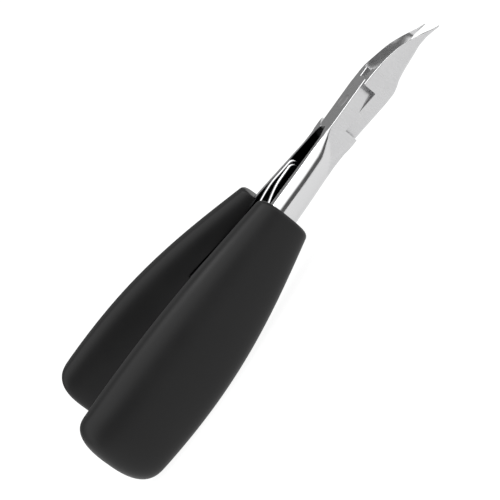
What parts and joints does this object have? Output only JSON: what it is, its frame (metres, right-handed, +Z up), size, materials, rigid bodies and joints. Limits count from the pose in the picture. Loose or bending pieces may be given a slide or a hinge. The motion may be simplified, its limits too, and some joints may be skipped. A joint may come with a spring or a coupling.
{
  "type": "toenail nipper",
  "caption": "Long-handled toenail nipper with curved pointed jaws, a flush lap joint, hooked leaf springs and wide black soft-grip handles, held open by its springs.",
  "frame": {"origin": "centre of the open tool's footprint, on the surface it lies on", "axes": "+Y along the tool towards the jaws, +X the opening direction towards the front half, +Z up along the pivot axis"},
  "size_m": [0.07, 0.1579, 0.0284],
  "materials": {
    "forged_steel": "satin flats with polished rounded sides",
    "rivet_steel": "satin, ground flush",
    "spring_steel": "polished",
    "core_plastic": "moulded",
    "soft_grip": "matte soft-touch"
  },
  "bodies": {
    "rear_half": {"rear_lever": "forged_steel", "pivot_rivet": "rivet_steel", "rear_spring": "spring_steel", "rear_spring_rivet": "rivet_steel", "rear_grip_core": "core_plastic", "rear_grip": "soft_grip"},
    "front_half": {"front_lever": "forged_steel", "front_spring": "spring_steel", "front_spring_rivet": "rivet_steel", "front_grip_core": "core_plastic", "front_grip": "soft_grip"}
  },
  "joints": [
    {"name": "pivot", "type": "hinge", "parent": "rear_half", "child": "front_half", "pos_m": [0, 0.0444, 0.0142], "axis": [0, 0, 1], "range_deg": [-20, 0], "stiffness_Nm_per_rad": 1.5, "springref_deg": 5.73, "deforming": ["front_spring", "rear_spring"]}
  ]
}
